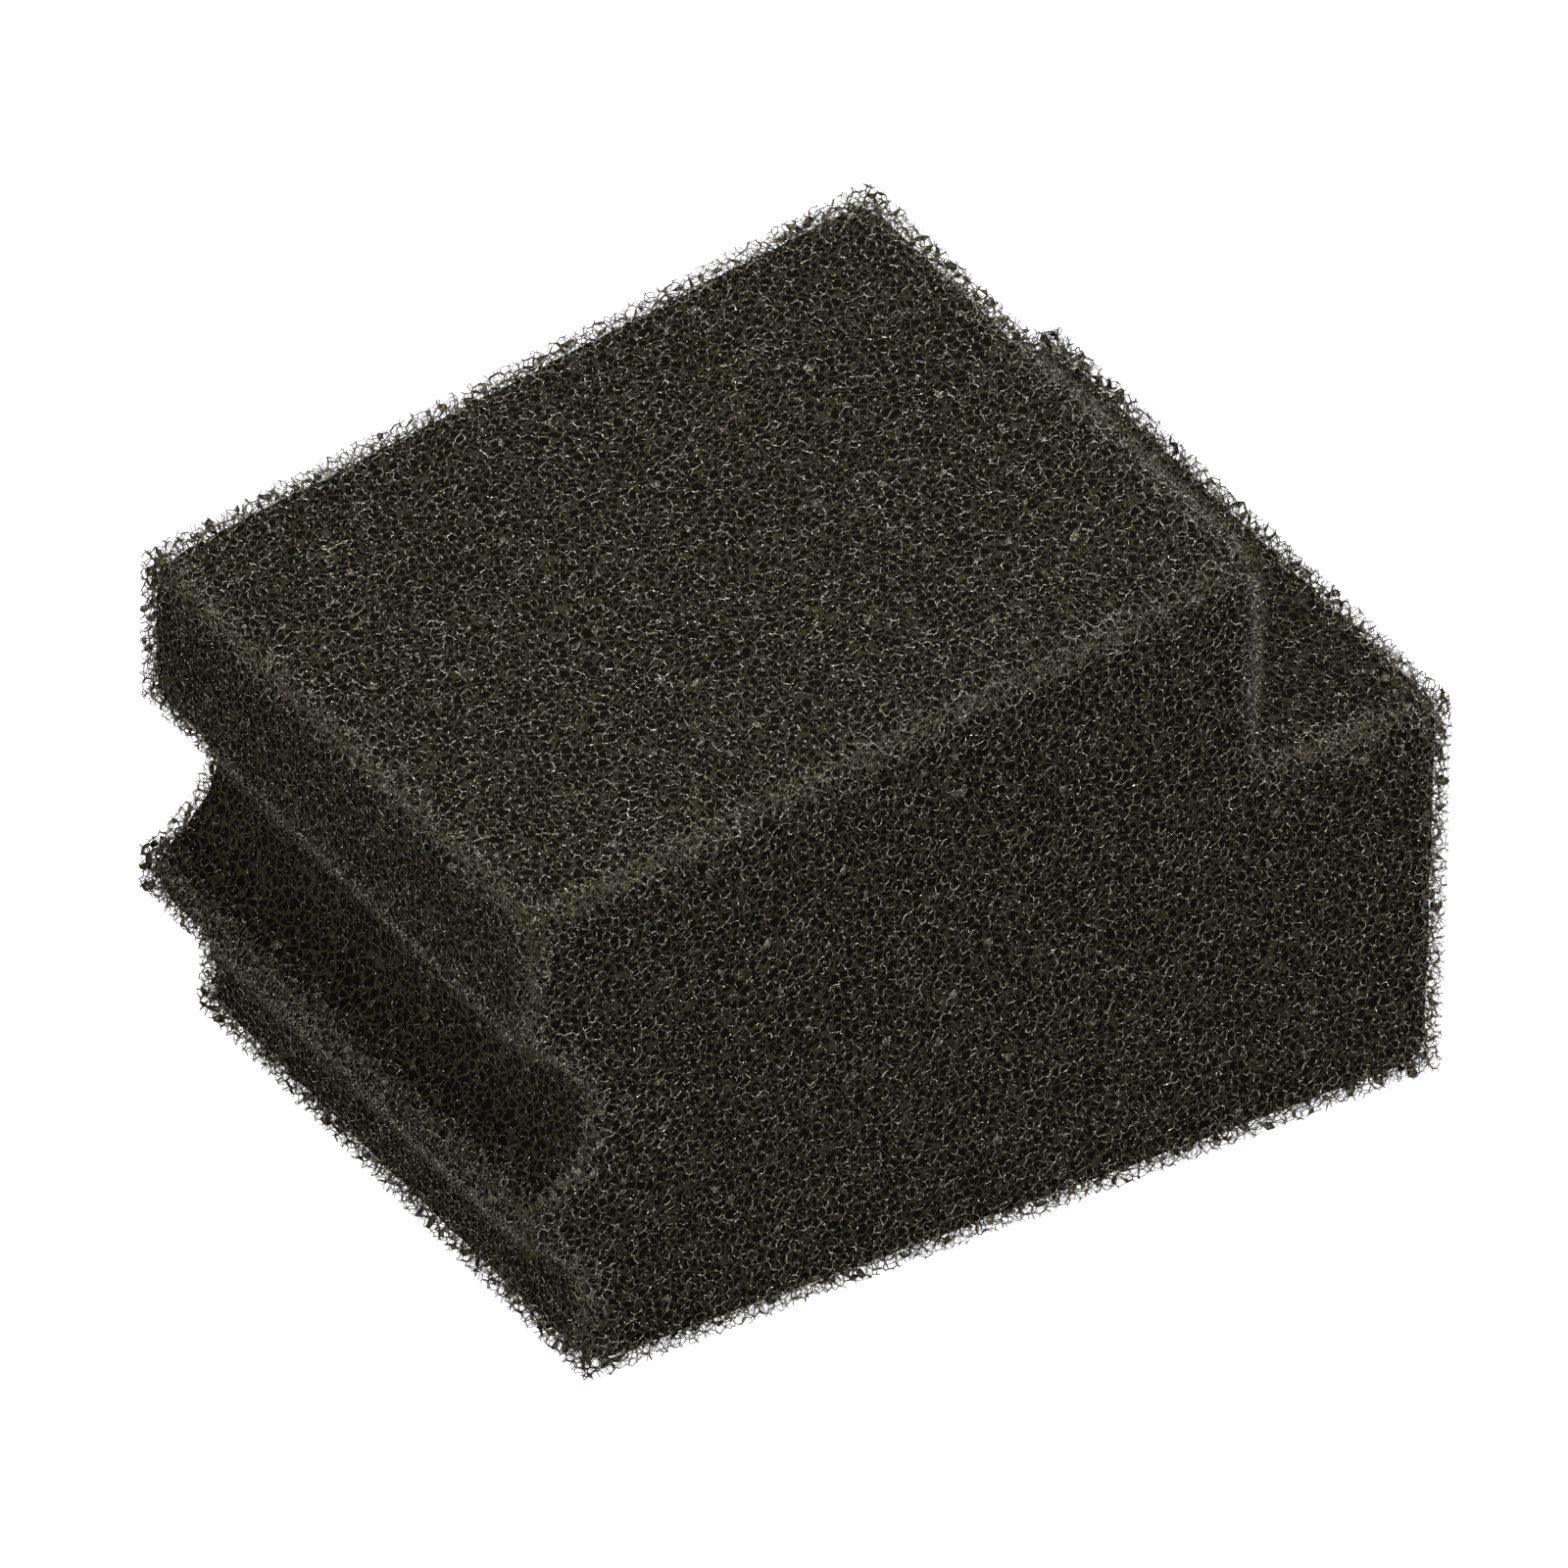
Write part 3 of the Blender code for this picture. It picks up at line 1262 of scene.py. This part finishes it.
@dataclass(frozen=True)
class Studio:
    """The photograph's camera, a white floor and the light.

    Args:
        azimuth: how far the camera stands to the left of the block's front, in degrees.
        elevation: how far it looks down, in degrees.
        roll: how far it leans, in degrees.
        lens: its focal length, in millimetres.
        sensor: how wide its sensor is, in millimetres.
        distance: from the camera to the aim point.
        sight: how far the camera sees.
        aim_right: how far right of the block's middle it aims.
        aim_up: how far above the block's middle it aims.
        floor_reach: how far the floor runs each way.
        floor_grey: the floor's own brightness, which takes the shadow.
        floor_glow: what is added to it for the camera.
        sky: the world's brightness, which only the camera sees as one.
        lamps: the lamps.
    """

    azimuth: float = 32.98
    elevation: float = 35.95
    roll: float = 1.08
    lens: float = 750.0
    sensor: float = 36.0
    distance: float = 3.454
    sight: float = 20.0
    aim_right: float = -1.15 * MILLIMETRE
    aim_up: float = -2.9 * MILLIMETRE
    floor_reach: float = 1.5
    floor_grey: float = 0.2
    floor_glow: float = 0.94
    sky: float = 0.08
    lamps: Tuple[Lamp, ...] = (
        Lamp("key", (0.02, -0.12, 0.87), 0.1, 6.8),
        Lamp("side", (-0.82, -0.28, 0.28), 0.3, 7.0),
        Lamp("fill", (0.25, -0.82, 0.36), 0.1, 5.6),
        Lamp("behind", (0.62, 0.68, 0.3), 0.3, 5.0),
    )

    def build(self, low: Vector, high: Vector) -> None:
        """Set the camera, the floor, the world and the lamps round the object."""
        bpy.context.scene.view_settings.view_transform = "Standard"
        middle = (Vector(low) + Vector(high)) / 2
        self._camera(middle)
        self._floor()
        self._world()
        self._lamps(middle)

    def _camera(self, middle: Vector) -> None:
        """Stand the camera where the photograph was taken from."""
        turn, fall = math.radians(self.azimuth), math.radians(self.elevation)
        ahead = Vector(
            (math.sin(turn) * math.cos(fall), math.cos(turn) * math.cos(fall), -math.sin(fall))
        )
        right = ahead.cross(Vector((0.0, 0.0, 1.0))).normalized()
        up = right.cross(ahead)
        lean = Matrix.Rotation(-math.radians(self.roll), 3, ahead)
        right, up = lean @ right, lean @ up
        aim = middle + self.aim_right * right + self.aim_up * up
        camera = placed("camera", bpy.data.cameras.new("camera"))
        camera.data.lens = self.lens
        camera.data.sensor_width = self.sensor
        camera.data.clip_end = self.sight
        axes = Matrix((right, up, -ahead)).transposed().to_4x4()
        camera.matrix_world = Matrix.Translation(aim - ahead * self.distance) @ axes
        bpy.context.scene.camera = camera

    def _floor(self) -> None:
        """Lay a wide floor that shows as white and keeps a trace of shadow."""
        shape = bmesh.new()
        bmesh.ops.create_grid(shape, x_segments=1, y_segments=1, size=self.floor_reach)
        mesh = bpy.data.meshes.new("floor")
        shape.to_mesh(mesh)
        shape.free()
        material, _ = new_material("white_floor")
        mesh.materials.append(material)
        tree = material.node_tree
        tree.nodes.clear()
        out = tree.nodes.new("ShaderNodeOutputMaterial")
        matt = tree.nodes.new("ShaderNodeBsdfDiffuse")
        glow = tree.nodes.new("ShaderNodeEmission")
        for shader, level in ((matt, self.floor_grey), (glow, self.floor_glow)):
            shader.inputs["Color"].default_value = (level, level, level, 1.0)
        lit = tree.nodes.new("ShaderNodeAddShader")
        tree.links.new(glow.outputs[0], lit.inputs[0])
        tree.links.new(matt.outputs[0], lit.inputs[1])
        tree.links.new(seen_apart(tree, matt.outputs[0], lit.outputs[0]), out.inputs[0])
        placed("floor", mesh)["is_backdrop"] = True

    def _world(self) -> None:
        """Light from all round, white to the camera."""
        world = bpy.data.worlds.new("studio")
        bpy.context.scene.world = world
        world.use_nodes = True
        tree = world.node_tree
        tree.nodes.clear()
        out = tree.nodes.new("ShaderNodeOutputWorld")
        soft, white = (tree.nodes.new("ShaderNodeBackground") for _ in range(2))
        for shader, strength in ((soft, self.sky), (white, 1.0)):
            shader.inputs["Strength"].default_value = strength
            shader.inputs["Color"].default_value = (1.0, 1.0, 1.0, 1.0)
        tree.links.new(seen_apart(tree, soft.outputs[0], white.outputs[0]), out.inputs[0])

    def _lamps(self, middle: Vector) -> None:
        """Hang the lamps, each facing the block."""
        for lamp in self.lamps:
            place = Vector(lamp.place)
            hung = placed(lamp.name, bpy.data.lights.new(lamp.name, "AREA"))
            hung.data.shape = "DISK"
            hung.data.size = lamp.size
            hung.data.energy = lamp.power
            hung.location = middle + place
            hung.rotation_euler = (-place).to_track_quat("-Z", "Y").to_euler()


# ------------------------------------------------------------------------------------- building


def main() -> None:
    """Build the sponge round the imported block."""
    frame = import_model()
    cad_low, cad_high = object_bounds()
    solid = BlockSolid(frame["nodes"][FOAM_NODE])
    LOG.info("outline corners %d", len(solid.outline))
    heart = FoamHeart(solid).build()
    heart.data.materials.append(HeartFinish().material())
    pieces = FoamPieces(FoamNetwork(solid))
    cells, skins = pieces.build(), pieces.build_skins()
    struts = StrutFinish().material()
    for piece in cells:
        piece.data.materials.append(struts)
    skins.data.materials.append(SkinFinish().material())
    for piece in (heart, *cells, skins):
        settle(piece.data, solid, TOP_RISE)
        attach(piece, BODY)
        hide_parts(FOAM_NODE)
    Studio().build(cad_low, cad_high)


if __name__ == "__main__":
    main()
